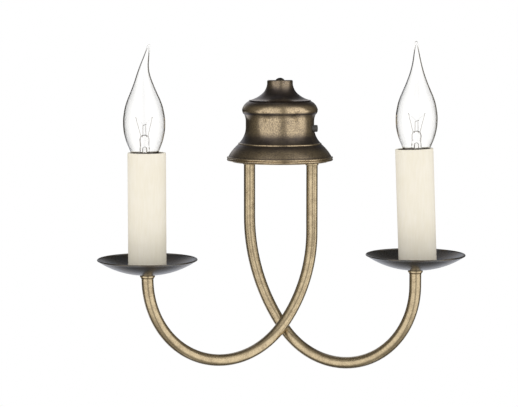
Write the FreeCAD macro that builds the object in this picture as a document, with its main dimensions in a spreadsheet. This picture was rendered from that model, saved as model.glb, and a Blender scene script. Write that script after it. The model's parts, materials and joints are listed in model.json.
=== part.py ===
"""Double arm wall sconce: a half-bell housing, two crossing tube arms, two candles.

Frame: millimetres, X to the right, Y into the wall, Z up. The wall plane is Y = 0 and
the origin is the centre of the two wall-fixing slots. Housing heights in the size
sheet are counted from the bottom of the lip, candle heights from the dish floor.
"""
import FreeCAD, Part
import math
import os

import Sketcher
from FreeCAD import Placement, Rotation, Vector

SIZES = {
    # Housing shell, from the lip up to the top of the neck
    "lip_radius": 46.6, "lip_height": 3.6, "lip_round": 1.0, "lip_ledge": 0.7,
    "belly_curve": 40.0,
    "ring_radius": 36.9, "ring_height": 14.6, "ring_width": 1.2, "ring_round": 0.8, "ring_set_in": 0.8,
    "waist_radius": 30.4, "waist_low": 29.5, "waist_high": 34.5,
    "waist_low_curve": 20.0, "waist_high_curve": 14.0, "waist_relief": 8.64,
    "shoulder_foot_radius": 32.1, "shoulder_foot": 41.5, "shoulder_ledge": 0.4,
    "shoulder_radius": 33.6, "shoulder_height": 45.4, "shoulder_low_curve": 6.1,
    "shoulder_curve": 11.0, "shoulder_top_radius": 27.9, "shoulder_top": 52.6,
    "groove_depth": 0.7, "groove_width": 0.9,
    "flare_radius": 15.2, "flare_height": 59.9, "flare_low_curve": 23.0, "flare_high_curve": 13.6,
    "neck_radius": 11.4, "neck_low": 68.0, "neck_top": 71.4, "neck_round": 1.2,
    "shell_wall": 1.8, "neck_cap": 2.2,
    # Bottom plate
    "plate_inset": 3.8, "plate_thick": 2.5, "plate_drop": 1.0,
    # Fits shared by many pieces
    "slack": 0.3, "thread_gap": 0.1, "slide_gap": 0.2,
    # Wall bracket
    "fixing_height": 36.0, "fixing_spacing": 44.0, "slot_width": 4.5, "slot_length": 8.0,
    "strip_width": 24.0, "strip_thick": 1.5, "strip_top_width": 14.0, "strip_narrow": 57.0,
    "cable_height": 29.0, "cable_hole": 6.0, "cable_bore": 4.0, "grommet_flange": 7.5,
    "grommet_lip": 1.5,
    "top_tab_round": 5.7, "top_tab_centre": 3.0, "low_tab_depth": 20.0,
    # Screws: M4 top, plate and earth screws, M3 block screw
    "screw_radius": 1.95, "screw_head": 3.7, "screw_head_height": 2.2, "screw_slot": 1.0,
    "screw_dome": 1.4, "earth_head": 3.33,
    "screw_slot_depth": 0.8, "top_screw_out": 5.5, "top_screw_length": 11.0,
    "plate_screw_out": 14.0, "plate_screw_length": 9.0, "sink_depth": 1.6,
    "earth_across": -8.0, "earth_height": 19.0,
    "block_screw_radius": 1.45, "block_screw_head": 2.6,
    # Terminal block
    "block_width": 34.0, "block_depth": 17.0, "block_height": 12.0, "block_low": 38.0,
    "pole_pitch": 10.0, "pole_bore": 2.1, "barrel_bore": 1.47, "pole_screw": 1.8, "pole_screw_depth": 6.0,
    # Push switch
    "switch_height": 28.8, "switch_out": 7.5, "switch_tab_across": 21.0, "switch_tab_height": 14.0,
    "switch_tab_depth": 14.0, "switch_box": 11.0, "switch_box_length": 12.0,
    "bush_radius": 3.5, "bush_length": 3.9, "switch_nut_radius": 4.75, "switch_nut_thick": 2.0,
    "button_radius": 3.1, "button_end": 33.5, "button_head": 6.2,
    "rod_radius": 1.8, "rod_length": 10.0, "rod_well": 9.0,
    "lug_length": 4.5, "lug_width": 3.0, "lug_thick": 0.6, "lug_spread": 5.6,
    # Tube arms
    "tube_radius": 5.0, "tube_wall": 1.0, "arm_swing": 30.7, "arm_above_plate": 7.0,
    "arm_above_floor": 7.0,
    "rear_exit_across": -27.0, "rear_exit_out": 8.6, "rear_straight": 49.2,
    "rear_wide_bend": 150.6, "rear_wide_turn": 40.2, "rear_tight_bend": 72.4, "rear_rise": 22.2,
    "front_exit_across": 28.0, "front_exit_out": 20.8, "front_straight": 62.5,
    "front_wide_bend": 120.1, "front_wide_turn": 41.8, "front_tight_bend": 75.8, "front_rise": 11.9,
    # Leads from the terminal block, through the arms, to the lampholders
    "lead_radius": 2.0, "lead_bend": 6.0, "lead_drop": 4.0, "lead_riser": 1.0,
    "rear_pole_across": -10.0, "rear_pole_out": 10.3, "front_pole_across": 10.0, "front_pole_out": 16.5,
    # Rings and nuts on the arms
    "collar_rim": 0.7, "collar_height": 1.9, "locknut_rim": 1.5, "locknut_thick": 3.0,
    "bead_rim": 1.2, "bead_height": 2.9, "bead_round": 1.5,
    # Drip dishes
    "dish_radius": 42.0, "dish_depth": 13.0, "dish_wall": 1.0, "dish_flat": 9.0, "dish_curve": 71.0,
    # Lampholders: strap, body, threaded shell and contact
    "strap_lift": 0.5, "strap_half": 9.7, "strap_thick": 1.2, "strap_width": 12.4, "strap_lug": 5.2,
    "holder_room": 1.7, "holder_low": 55.0, "holder_top": 86.0, "holder_floor": 3.0,
    "holder_bore": 7.6, "holder_edge": 0.8, "lead_hole": 2.6,
    "shell_radius": 7.45, "shell_bore": 6.95, "shell_low": 64.0, "shell_high": 79.6,
    "contact_width": 5.0, "contact_thick": 0.4,
    # Candle sleeves
    "sleeve_radius": 16.0, "sleeve_wall": 2.0, "sleeve_low": 2.2, "sleeve_length": 98.9,
    "sleeve_edge": 0.5, "right_sleeve_lean": -2.2, "right_sleeve_shift": 2.0,
    "left_candle_lean": -0.9,
    # Bulbs: screw cap, contact and stem
    "cap_root": 6.2, "cap_crest_round": 2.43, "cap_wall": 0.5, "cap_pitch": 2.82,
    "cap_low": 64.4, "cap_turns": 5, "skirt_radius": 7.2, "skirt_low": 80.0, "skirt_top": 87.2,
    "tip_radius": 2.2, "tip_low": 60.3, "insulator_radius": 5.2,
    "glass_wall": 0.8, "glass_neck": 6.5, "glass_low": 81.6,
    "glass_bend_slope": 0.26, "glass_bend_start": 163.0, "glass_bend_end": 176.0,
    "left_bend_turn": 0.0, "right_bend_turn": -104.0,
    "stem_radius": 4.3, "stem_low": 83.0, "stem_flare": 3.0, "stem_high": 103.0, "pinch_radius": 2.0, "pinch_high": 114.0,
    "wire_radius": 0.3, "wire_bead": 0.5, "wire_spread": 8.0, "wire_high": 130.5, "support_high": 123.7,
    "filament_radius": 0.15, "left_wire_turn": 8.0, "right_wire_turn": -12.0,
}

# Glass envelope: a radius at each height above the dish floor
GLASS_STATIONS = (
    ("throat", 89.0, 7.0), ("collar", 94.0, 9.0), ("chin", 102.0, 11.8), ("jaw", 112.0, 15.6),
    ("belly", 124.0, 17.5), ("cheek", 136.0, 16.4), ("temple", 143.0, 14.5), ("brow", 150.0, 11.6),
    ("taper", 157.0, 8.7), ("stalk", 165.0, 5.9), ("bend", 171.0, 4.3), ("point", 177.0, 3.1),
    ("tip", 183.0, 2.1), ("nib", 189.4, 1.4), ("end", 190.9, 0.6),
)
HOLLOW_STATIONS = 11
for station, height, radius in GLASS_STATIONS:
    SIZES["glass_" + station + "_height"] = height
    SIZES["glass_" + station + "_radius"] = radius

doc = FreeCAD.newDocument("double_arm_wall_sconce")
parts = []


class Size:
    """A number together with the sheet expression that gives it."""

    def __init__(self, number, text=None):
        self.number = float(number)
        self.text = text or repr(float(number))

    def join(self, other, sign, number, swap=False):
        other = as_size(other)
        pair = (other.text, self.text) if swap else (self.text, other.text)
        return Size(number, "(%s %s %s)" % (pair[0], sign, pair[1]))

    def __add__(self, other):
        return self.join(other, "+", self.number + as_size(other).number)

    def __radd__(self, other):
        return self + other

    def __sub__(self, other):
        return self.join(other, "-", self.number - as_size(other).number)

    def __rsub__(self, other):
        return self.join(other, "-", as_size(other).number - self.number, swap=True)

    def __mul__(self, other):
        return self.join(other, "*", self.number * as_size(other).number)

    def __rmul__(self, other):
        return self * other

    def __truediv__(self, other):
        return self.join(other, "/", self.number / as_size(other).number)

    def __neg__(self):
        return Size(-self.number, "(-1 * %s)" % self.text)


def as_size(value):
    return value if isinstance(value, Size) else Size(value)


def sine(angle):
    return Size(math.sin(math.radians(angle.number)), "sin(%s)" % angle.text)


def cosine(angle):
    return Size(math.cos(math.radians(angle.number)), "cos(%s)" % angle.text)


def root(value):
    return Size(math.sqrt(value.number), "sqrt(%s)" % value.text)


class SizeSheet:
    """The driving dimensions, one cell each, read back as Size values."""

    def __init__(self, sizes):
        self.sheet = doc.addObject("Spreadsheet::Sheet", "Sizes")
        for row, (name, number) in enumerate(sizes.items(), start=1):
            self.sheet.set("A%d" % row, name)
            self.sheet.set("B%d" % row, str(number))
            self.sheet.setAlias("B%d" % row, name)
        doc.recompute()

    def __getattr__(self, name):
        return Size(self.sheet.getPropertyByName(name), "Sizes." + name)


S = SizeSheet(SIZES)


# --- Small modelling helpers ---------------------------------------------------------

def bind(thing, name, value):
    """Set a property, and tie it to the sheet where the value comes from there."""
    value = as_size(value)
    setattr(thing, name, value.number)
    if "Sizes." in value.text:
        thing.setExpression(name, value.text)


def new_body(name):
    body = doc.addObject("PartDesign::Body", name)
    body.Label = name
    parts.append(body)
    return body


def origin_plane(body, role):
    return [item for item in body.Origin.OriginFeatures if item.Role == role][0]


def new_sketch(body, name, role, offset=0):
    sketch = body.newObject("Sketcher::SketchObject", body.Name + "_" + name)
    sketch.AttachmentSupport = [(origin_plane(body, role), "")]
    sketch.MapMode = "FlatFace"
    offset = as_size(offset)
    sketch.AttachmentOffset = Placement(Vector(0, 0, offset.number), Rotation())
    if "Sizes." in offset.text:
        sketch.setExpression("AttachmentOffset.Base.z", offset.text)
    return sketch


def pin_coordinate(sketch, kind, edge, point, value):
    """Fix one coordinate of a sketch point from the origin."""
    value = as_size(value)
    if value.number == 0 and "Sizes." not in value.text:
        axis = -2 if kind == "DistanceX" else -1
        sketch.addConstraint(Sketcher.Constraint("PointOnObject", edge, point, axis))
        return
    index = sketch.addConstraint(Sketcher.Constraint(kind, -1, 1, edge, point, value.number))
    if "Sizes." in value.text:
        sketch.setExpression("Constraints[%d]" % index, value.text)


def pin_point(sketch, edge, point, across, up):
    pin_coordinate(sketch, "DistanceX", edge, point, across)
    pin_coordinate(sketch, "DistanceY", edge, point, up)


def arc_between(start, end, radius, left):
    """Arc of under a half circle; left puts its centre to the left of travel."""
    middle = (start + end) * 0.5
    chord = end - start
    side = Vector(-chord.y, chord.x, 0).normalize()
    depth = math.sqrt(max(radius ** 2 - (chord.Length / 2) ** 2, 0.0))
    centre = middle + side * (depth if left else -depth)
    first = math.atan2(start.y - centre.y, start.x - centre.x)
    last = math.atan2(end.y - centre.y, end.x - centre.x)
    if not left:
        first, last = last, first
    circle = Part.Circle(centre, Vector(0, 0, 1), radius)
    return Part.ArcOfCircle(circle, first, last if last > first else last + 2 * math.pi)


def draw_outline(sketch, corners, closed=True):
    """Chain of lines and arcs. A corner is (across, up), or (across, up, radius, side)
    where an arc of that radius leads to it, its centre left or right of travel."""
    spots = [Vector(as_size(c[0]).number, as_size(c[1]).number, 0) for c in corners]
    count = len(corners) if closed else len(corners) - 1
    first_edge = sketch.GeometryCount
    ends = []
    for index in range(count):
        target = (index + 1) % len(corners)
        edge = first_edge + index
        if len(corners[target]) == 4:
            radius = as_size(corners[target][2])
            left = corners[target][3] == "left"
            sketch.addGeometry(arc_between(spots[index], spots[target], radius.number, left), False)
            number = sketch.addConstraint(Sketcher.Constraint("Radius", edge, radius.number))
            if "Sizes." in radius.text:
                sketch.setExpression("Constraints[%d]" % number, radius.text)
            ends.append((1, 2) if left else (2, 1))
        else:
            sketch.addGeometry(Part.LineSegment(spots[index], spots[target]), False)
            ends.append((1, 2))
    for index in range(count):
        if index + 1 < count or closed:
            follower = (index + 1) % count
            sketch.addConstraint(Sketcher.Constraint(
                "Coincident", first_edge + index, ends[index][1], first_edge + follower, ends[follower][0]))
        pin_point(sketch, first_edge + index, ends[index][0], corners[index][0], corners[index][1])
    if not closed:
        pin_point(sketch, first_edge + count - 1, ends[-1][1], corners[-1][0], corners[-1][1])
    return sketch


def draw_circle(sketch, across, up, radius):
    centre = Vector(as_size(across).number, as_size(up).number, 0)
    edge = sketch.addGeometry(Part.Circle(centre, Vector(0, 0, 1), as_size(radius).number), False)
    number = sketch.addConstraint(Sketcher.Constraint("Radius", edge, as_size(radius).number))
    if "Sizes." in as_size(radius).text:
        sketch.setExpression("Constraints[%d]" % number, as_size(radius).text)
    pin_point(sketch, edge, 3, across, up)


def draw_box(sketch, low_across, low_up, high_across, high_up):
    return draw_outline(sketch, ((low_across, low_up), (high_across, low_up),
                                 (high_across, high_up), (low_across, high_up)))


def draw_slot(sketch, across, middle, width, length):
    """Round-ended slot standing along the sketch's second axis."""
    reach = (length - width) / 2
    side = width / 2
    bulge = side * 1.0005
    draw_outline(sketch, ((across + side, middle - reach, bulge, "left"), (across + side, middle + reach),
                          (across - side, middle + reach, bulge, "left"), (across - side, middle - reach)))


def hexagon(sketch, flat):
    """Hexagon with two flats facing along the sketch's first axis."""
    corner = flat / cosine(Size(30))
    draw_outline(sketch, [(corner * cosine(Size(angle)), corner * sine(Size(angle)))
                          for angle in range(30, 390, 60)])


def revolve(body, corners, angle=360, reverse=False):
    """Turn an outline of (radius, height) corners about the body's Z axis."""
    sketch = draw_outline(new_sketch(body, "outline", "XZ_Plane"), corners)
    turned = body.newObject("PartDesign::Revolution", body.Name + "_turned")
    turned.Profile = sketch
    turned.ReferenceAxis = (sketch, ["V_Axis"])
    turned.Angle = angle
    turned.Reversed = reverse
    return turned


def pad(body, name, sketch, length, midplane=False, reverse=False):
    feature = body.newObject("PartDesign::Pad", body.Name + "_" + name)
    feature.Profile = sketch
    bind(feature, "Length", length)
    feature.Midplane = midplane
    feature.Reversed = reverse
    return feature


def pocket(body, name, sketch, length=None, reverse=False):
    """Cut a sketch, right through where no length is given, and see that it cuts."""
    doc.recompute()
    before = body.Shape.Volume
    feature = body.newObject("PartDesign::Pocket", body.Name + "_" + name)
    feature.Profile = sketch
    if length is None:
        feature.Type = 1
    else:
        bind(feature, "Length", length)
    feature.Reversed = reverse
    doc.recompute()
    if body.Shape.Volume >= before - 1e-6:
        raise RuntimeError(feature.Name + " cuts nothing")
    return feature


FACING = {"up": Rotation(), "out": Rotation(Vector(1, 0, 0), 90), "side": Rotation(Vector(0, 1, 0), 90)}


def place(thing, across=0, out=0, up=0, turn=0, lean=0, facing="up"):
    """Stand a piece in the frame: turned about its own Z, faced, then leaned about Y."""
    spot = [as_size(across), -as_size(out), as_size(up)]
    spin = Rotation(Vector(0, 0, 1), as_size(turn).number)
    tilt = Rotation(Vector(0, 1, 0), as_size(lean).number)
    thing.Placement = Placement(Vector(*[value.number for value in spot]), tilt * FACING[facing] * spin)
    for axis, value in zip("xyz", spot):
        if "Sizes." in value.text:
            thing.setExpression("Placement.Base." + axis, value.text)
    return thing


def new_part(kind, name, final=True, **sizes):
    """A Part primitive or boolean, its sizes tied to the sheet."""
    thing = doc.addObject("Part::" + kind, name)
    thing.Label = name
    for size_name, value in sizes.items():
        bind(thing, size_name, value)
    if final:
        parts.append(thing)
    return thing


def new_solid(name, shape, **where):
    """A solid worked out in code, for forms that no single feature makes."""
    thing = doc.addObject("Part::Feature", name)
    thing.Label = name
    thing.Shape = shape
    parts.append(thing)
    return place(thing, **where)


def group(name, things):
    """Like pieces kept as separate solids in one node."""
    bunch = new_part("Compound", name)
    bunch.Links = things
    return bunch


def low(height):
    """Housing heights count from the lip, the frame's from the fixing centre."""
    return height - S.fixing_height


# --- Housing -------------------------------------------------------------------------

PLATE_TOP = S.plate_thick - S.plate_drop
PLATE_RADIUS = S.lip_radius - S.plate_inset
TUBE_BORE = S.tube_radius - S.tube_wall
SLEEVE_BORE = S.sleeve_radius - S.sleeve_wall


def shell_outline():
    """Outside from the lip up to the neck, then the inside back down."""
    wall = S.shell_wall
    bore = PLATE_RADIUS + S.slack
    inner = PLATE_RADIUS - S.slack
    shelf = PLATE_TOP + S.slack
    ring_top = S.ring_height + S.ring_width
    ledge_radius = S.shoulder_foot_radius + S.shoulder_ledge
    groove_radius = S.shoulder_top_radius - S.groove_depth
    outside = (
        (bore, 0), (S.lip_radius, 0),
        (S.lip_radius, S.lip_height / 2, S.lip_round, "left"),
        (S.lip_radius, S.lip_height, S.lip_round, "left"),
        (S.lip_radius - S.lip_ledge, S.lip_height),
        (S.ring_radius, S.ring_height, S.belly_curve, "left"),
        (S.ring_radius - S.ring_set_in, ring_top, S.ring_round, "left"),
        (S.waist_radius, S.waist_low, S.waist_low_curve, "right"),
        (S.waist_radius, S.waist_high),
        (S.shoulder_foot_radius, S.shoulder_foot, S.waist_high_curve, "right"),
        (ledge_radius, S.shoulder_foot),
        (S.shoulder_radius, S.shoulder_height, S.shoulder_low_curve, "left"),
        (S.shoulder_top_radius, S.shoulder_top, S.shoulder_curve, "left"),
        (groove_radius, S.shoulder_top + S.groove_width / 2),
        (S.shoulder_top_radius, S.shoulder_top + S.groove_width),
        (S.flare_radius, S.flare_height, S.flare_low_curve, "right"),
        (S.neck_radius, S.neck_low, S.flare_high_curve, "right"),
        (S.neck_radius, S.neck_top - S.neck_round),
        (S.neck_radius - S.neck_round, S.neck_top, S.neck_round, "left"),
        (0, S.neck_top),
    )
    inside = (
        (0, S.neck_top - S.neck_cap),
        (S.neck_radius - wall, S.neck_top - S.neck_cap),
        (S.neck_radius - wall, S.flare_height + wall),
        (S.flare_radius - wall, S.flare_height - wall),
        (S.flare_radius + wall, S.flare_height - 2.5 * wall),
        (groove_radius - 1.5 * wall, S.shoulder_top - wall / 4),
        (S.shoulder_radius - 2.2 * wall, S.shoulder_top - 1.6 * wall),
        (S.shoulder_radius - 1.2 * wall, S.shoulder_height),
        (S.shoulder_foot_radius - wall, S.shoulder_foot),
        (S.waist_radius - wall, S.waist_high),
        (S.waist_radius - wall, S.waist_low),
        (S.waist_radius, S.waist_low - S.waist_relief),
        (S.ring_radius - 1.5 * wall, S.ring_height + wall / 2),
        (inner, S.lip_height + wall),
        (inner, shelf), (bore, shelf),
    )
    return outside + inside


def make_shell():
    body = new_body("housing_shell")
    revolve(body, shell_outline(), angle=180, reverse=True)
    screw = new_sketch(body, "screw_hole", "XY_Plane")
    draw_circle(screw, 0, -S.top_screw_out, S.screw_radius + S.slide_gap)
    pocket(body, "screw_bore", screw, reverse=True)
    button = new_sketch(body, "button_hole", "YZ_Plane")
    draw_circle(button, -S.switch_out, S.switch_height, S.button_radius + S.slack)
    pocket(body, "button_bore", button, reverse=True)
    place(body, up=low(0))


def make_plate():
    """Half disc closing the bell, with a hole for each arm and a sunk screw."""
    body = new_body("bottom_plate")
    sketch = new_sketch(body, "half_disc", "XY_Plane")
    edge = root(PLATE_RADIUS * PLATE_RADIUS - S.slack * S.slack)
    draw_outline(sketch, ((edge, -S.slack, PLATE_RADIUS, "left"), (-edge, -S.slack),
                          (0, -PLATE_RADIUS, PLATE_RADIUS, "left")))
    draw_circle(sketch, S.rear_exit_across, -S.rear_exit_out, S.tube_radius + S.thread_gap)
    draw_circle(sketch, S.front_exit_across, -S.front_exit_out, S.tube_radius + S.thread_gap)
    draw_circle(sketch, 0, -S.plate_screw_out, S.screw_radius + S.slide_gap)
    pad(body, "disc", sketch, S.plate_thick)
    sink = new_sketch(body, "screw_sink", "XY_Plane")
    draw_circle(sink, 0, -S.plate_screw_out, S.screw_head + S.slide_gap)
    pocket(body, "sink", sink, S.sink_depth, reverse=True)
    place(body, up=low(-S.plate_drop))


def make_bracket():
    """Steel strip on the wall with folded tabs for the shell, the plate and the switch."""
    body = new_body("wall_bracket")
    bottom = PLATE_TOP + S.slack
    top = S.neck_top - S.neck_cap - S.slack
    half, narrow = S.strip_width / 2, S.strip_top_width / 2
    wing = S.switch_tab_across + S.strip_thick
    wing_low = S.switch_height - S.switch_tab_height / 2
    wing_high = S.switch_height + S.switch_tab_height / 2
    neck = S.strip_narrow + half - narrow
    strip = draw_outline(new_sketch(body, "strip", "XZ_Plane"), (
        (-half, bottom), (half, bottom), (half, wing_low), (wing, wing_low), (wing, wing_high),
        (half, wing_high), (half, S.strip_narrow), (narrow, neck), (narrow, top),
        (-narrow, top), (-narrow, neck), (-half, S.strip_narrow)))
    pad(body, "strip_pad", strip, S.strip_thick)
    foot = new_sketch(body, "foot", "XY_Plane", bottom)
    draw_outline(foot, ((-half, 0), (-half, -S.low_tab_depth + narrow / 2),
                        (-half + narrow / 2, -S.low_tab_depth), (half - narrow / 2, -S.low_tab_depth),
                        (half, -S.low_tab_depth + narrow / 2), (half, 0)))
    draw_circle(foot, 0, -S.plate_screw_out, S.screw_radius + S.thread_gap)
    pad(body, "foot_pad", foot, S.strip_thick)
    head = new_sketch(body, "head", "XY_Plane", top)
    side = S.top_tab_round
    draw_outline(head, ((side, -S.top_tab_centre, side, "left"), (side, 0), (-side, 0),
                        (-side, -S.top_tab_centre), (0, -S.top_tab_centre - side, side, "left")))
    draw_circle(head, 0, -S.top_screw_out, S.screw_radius + S.thread_gap)
    pad(body, "head_pad", head, S.strip_thick, reverse=True)
    tab = new_sketch(body, "tab", "YZ_Plane", S.switch_tab_across)
    draw_box(tab, -S.switch_tab_depth, wing_low, 0, wing_high)
    draw_circle(tab, -S.switch_out, S.switch_height, S.bush_radius + S.thread_gap)
    pad(body, "tab_pad", tab, S.strip_thick)
    holes = new_sketch(body, "holes", "XZ_Plane")
    for side_sign in (-1, 1):
        draw_slot(holes, as_size(0), S.fixing_height + side_sign * S.fixing_spacing / 2,
                  S.slot_width, S.slot_length)
    draw_circle(holes, 0, S.cable_height, S.cable_hole)
    draw_circle(holes, S.earth_across, S.earth_height, S.screw_radius + S.thread_gap)
    draw_circle(holes, S.pole_pitch / 2, S.block_low + S.block_height / 2, S.block_screw_radius + S.thread_gap)
    pocket(body, "holes_cut", holes, S.strip_thick * 2, reverse=True)
    place(body, up=low(0))


def make_grommet():
    """Rubber bush in the cable hole, flush with the wall side."""
    body = new_body("cable_grommet")
    neck = S.cable_hole - S.slide_gap
    revolve(body, ((S.cable_bore, S.slack), (neck, S.slack), (neck, S.strip_thick),
                   (S.grommet_flange, S.strip_thick), (S.grommet_flange, S.strip_thick + S.grommet_lip / 2),
                   (S.grommet_flange - S.grommet_lip / 2, S.strip_thick + S.grommet_lip),
                   (S.cable_bore, S.strip_thick + S.grommet_lip)))
    place(body, up=low(S.cable_height), facing="out")


def make_dome_screw(name, shank, length, head, head_height, **where):
    """Low domed head on its seat at height 0, shank below, one driver slot."""
    body = new_body(name)
    revolve(body, ((0, -length), (shank, -length), (shank, 0), (head, 0), (head, head_height / 4),
                   (0, head_height, head * S.screw_dome, "left")))
    slot = new_sketch(body, "slot", "XY_Plane", head_height)
    draw_box(slot, -head, -S.screw_slot / 2, head, S.screw_slot / 2)
    pocket(body, "slot_cut", slot, S.screw_slot_depth)
    place(body, **where)


def make_plate_screw():
    """Flat-headed screw sunk in the plate, driven from below into the foot tab."""
    body = new_body("plate_screw")
    top = S.sink_depth - S.slide_gap
    revolve(body, ((0, 0), (S.screw_head, 0), (S.screw_head, top), (S.screw_radius, top),
                   (S.screw_radius, S.plate_screw_length), (0, S.plate_screw_length)))
    slot = new_sketch(body, "slot", "XY_Plane")
    draw_box(slot, -S.screw_head, -S.screw_slot / 2, S.screw_head, S.screw_slot / 2)
    pocket(body, "slot_cut", slot, S.screw_slot_depth, reverse=True)
    place(body, out=S.plate_screw_out, up=low(-S.plate_drop))


def make_terminal_block():
    """Three-pole block on the strip: upright wire bores, clamp screws in front."""
    body = new_body("terminal_block")
    half = S.block_width / 2
    back = S.strip_thick + S.slack
    front = back + S.block_depth
    bores_out = back + S.block_depth / 2
    top = S.block_low + S.block_height
    base = new_sketch(body, "base", "XY_Plane", S.block_low)
    draw_box(base, -half, -front, half, -back)
    for pole in (-1, 0, 1):
        draw_circle(base, pole * S.pole_pitch, -bores_out, S.pole_bore + S.thread_gap)
    pad(body, "block", base, S.block_height)
    wells = new_sketch(body, "wells", "XZ_Plane", front)
    for pole in (-1, 0, 1):
        for row in (S.block_low + S.block_height / 4, top - S.block_height / 4):
            draw_circle(wells, pole * S.pole_pitch, row, S.pole_screw + S.thread_gap)
    pocket(body, "wells_cut", wells, S.pole_screw_depth)
    middle = new_sketch(body, "middle", "XZ_Plane", front)
    draw_circle(middle, S.pole_pitch / 2, S.block_low + S.block_height / 2, S.block_screw_radius + S.thread_gap)
    pocket(body, "middle_cut", middle)
    place(body, up=low(0))
    make_terminal_metal(bores_out, front)


def make_terminal_metal(bores_out, front):
    """Brass barrels in the bores, and the clamp screws in their wells."""
    barrels, screws = [], []
    for number, pole in enumerate((-1, 0, 1), start=1):
        outer = new_part("Cylinder", "barrel_outside_%d" % number, final=False,
                         Radius=S.pole_bore, Height=S.block_height - 2 * S.slack)
        bore = new_part("Cylinder", "barrel_bore_%d" % number, final=False,
                        Radius=S.barrel_bore, Height=S.block_height - 2 * S.slack)
        barrel = new_part("Cut", "barrel_%d" % number, final=False)
        barrel.Base, barrel.Tool = outer, bore
        place(barrel, across=pole * S.pole_pitch, out=bores_out, up=low(S.block_low + S.slack))
        barrels.append(barrel)
        for row in (1, 3):
            screw = new_part("Cylinder", "clamp_screw_%d_%d" % (number, row), final=False,
                             Radius=S.pole_screw, Height=S.pole_screw_depth - S.slack)
            place(screw, across=pole * S.pole_pitch, out=front - S.pole_screw_depth + S.slide_gap,
                  up=low(S.block_low + row * S.block_height / 4), facing="out")
            screws.append(screw)
    group("terminal_barrels", barrels)
    group("terminal_screws", screws)


def make_switch():
    """Push switch on its tab: box behind, threaded bush through, button outside the shell."""
    where = {"across": S.switch_tab_across, "out": S.switch_out, "up": low(S.switch_height), "facing": "side"}
    body = new_body("switch_body")
    half = S.switch_box / 2
    box = draw_box(new_sketch(body, "box", "XY_Plane"), -half, -half, half, half)
    pad(body, "box_pad", box, S.switch_box_length, reverse=True)
    bush = new_sketch(body, "bush", "XY_Plane")
    draw_circle(bush, 0, 0, S.bush_radius)
    pad(body, "bush_pad", bush, S.bush_length)
    bore = new_sketch(body, "bore", "XY_Plane", S.bush_length)
    draw_circle(bore, 0, 0, S.rod_radius + S.thread_gap)
    pocket(body, "bore_cut", bore, S.bush_length + S.rod_well)
    place(body, **where)

    nut = new_body("switch_nut")
    inner = S.bush_radius + S.thread_gap / 2
    seat = S.strip_thick
    revolve(nut, ((inner, seat), (S.switch_nut_radius, seat), (S.switch_nut_radius, seat + S.switch_nut_thick),
                  (inner, seat + S.switch_nut_thick)))
    place(nut, **where)

    button = new_body("switch_button")
    end = S.button_end - S.switch_tab_across
    neck = end - S.button_head
    round_edge = S.button_radius / 4
    revolve(button, ((0, neck - S.rod_length), (S.rod_radius, neck - S.rod_length), (S.rod_radius, neck),
                     (S.button_radius, neck), (S.button_radius, end - round_edge),
                     (S.button_radius - round_edge, end, round_edge, "left"), (0, end)))
    place(button, **where)

    lugs = []
    for sign in (-1, 1):
        lug = new_part("Box", "switch_lug_%s" % ("rear" if sign > 0 else "front"), final=False,
                       Length=S.lug_length, Width=S.lug_thick, Height=S.lug_width)
        place(lug, across=S.switch_tab_across - S.switch_box_length - S.lug_length,
              out=S.switch_out + sign * S.lug_spread / 2, up=low(S.switch_height - S.lug_width / 2))
        lugs.append(lug)
    group("switch_lugs", lugs)


# --- Arms ----------------------------------------------------------------------------

class Arm:
    """One bent tube: straight down, a wide bend, a tight bend, straight up."""

    def __init__(self, name, heading):
        self.name = name
        self.heading = heading
        self.exit_across = getattr(S, name + "_exit_across")
        self.exit_out = getattr(S, name + "_exit_out")
        self.straight = getattr(S, name + "_straight")
        self.wide = getattr(S, name + "_wide_bend")
        self.turn = getattr(S, name + "_wide_turn")
        self.tight = getattr(S, name + "_tight_bend")
        self.rise = getattr(S, name + "_rise")
        self.top = PLATE_TOP + S.arm_above_plate
        self.mid_run = self.wide * (1 - cosine(self.turn))
        self.mid_height = -self.straight - self.wide * sine(self.turn)
        self.run = self.mid_run + self.tight * (1 + cosine(self.turn))
        self.low_end = self.mid_height + self.tight * sine(self.turn)
        self.end = self.low_end + self.rise
        self.seat = self.end - S.arm_above_floor
        self.candle_across = self.exit_across + self.heading * self.run * cosine(S.arm_swing)
        self.candle_out = self.exit_out + self.run * sine(S.arm_swing)

    def spot(self, run, height):
        """Frame point at a run along the arm's plane and a housing height."""
        across = self.exit_across.number + self.heading * run * math.cos(math.radians(S.arm_swing.number))
        out = self.exit_out.number + run * math.sin(math.radians(S.arm_swing.number))
        return Vector(across, -out, height - S.fixing_height.number)

    def bends(self):
        """Edges of the centre line from the first bend to the end of the second."""
        wide, tight = self.wide.number, self.tight.number
        turn = math.radians(self.turn.number)
        start = -self.straight.number
        first = [(wide * (1 - math.cos(angle)), start - wide * math.sin(angle)) for angle in (0, turn / 2, turn)]
        centre = (first[2][0] + tight * math.cos(turn), first[2][1] + tight * math.sin(turn))
        second = [(centre[0] - tight * math.cos(angle), centre[1] - tight * math.sin(angle))
                  for angle in (turn, (turn + math.pi) / 2, math.pi)]
        return [Part.Arc(*[self.spot(*point) for point in points]).toShape() for points in (first, second)]


REAR = Arm("rear", 1)
FRONT = Arm("front", -1)


def make_arm(arm):
    body = new_body(arm.name + "_arm")
    section = new_sketch(body, "section", "XY_Plane")
    draw_circle(section, 0, 0, S.tube_radius)
    draw_circle(section, 0, 0, TUBE_BORE)
    path = new_sketch(body, "path", "XZ_Plane")
    draw_outline(path, ((0, 0), (0, -arm.straight - arm.top),
                        (arm.mid_run, arm.mid_height - arm.top, arm.wide, "left"),
                        (arm.run, arm.low_end - arm.top, arm.tight, "left"),
                        (arm.run, arm.end - arm.top)), closed=False)
    pipe = body.newObject("PartDesign::AdditivePipe", body.Name + "_tube")
    pipe.Profile = section
    pipe.Spine = (path, ["Edge1", "Edge2", "Edge3", "Edge4"])
    swing = -S.arm_swing if arm.heading > 0 else S.arm_swing + 180
    place(body, across=arm.exit_across, out=arm.exit_out, up=low(arm.top), turn=swing)


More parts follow.
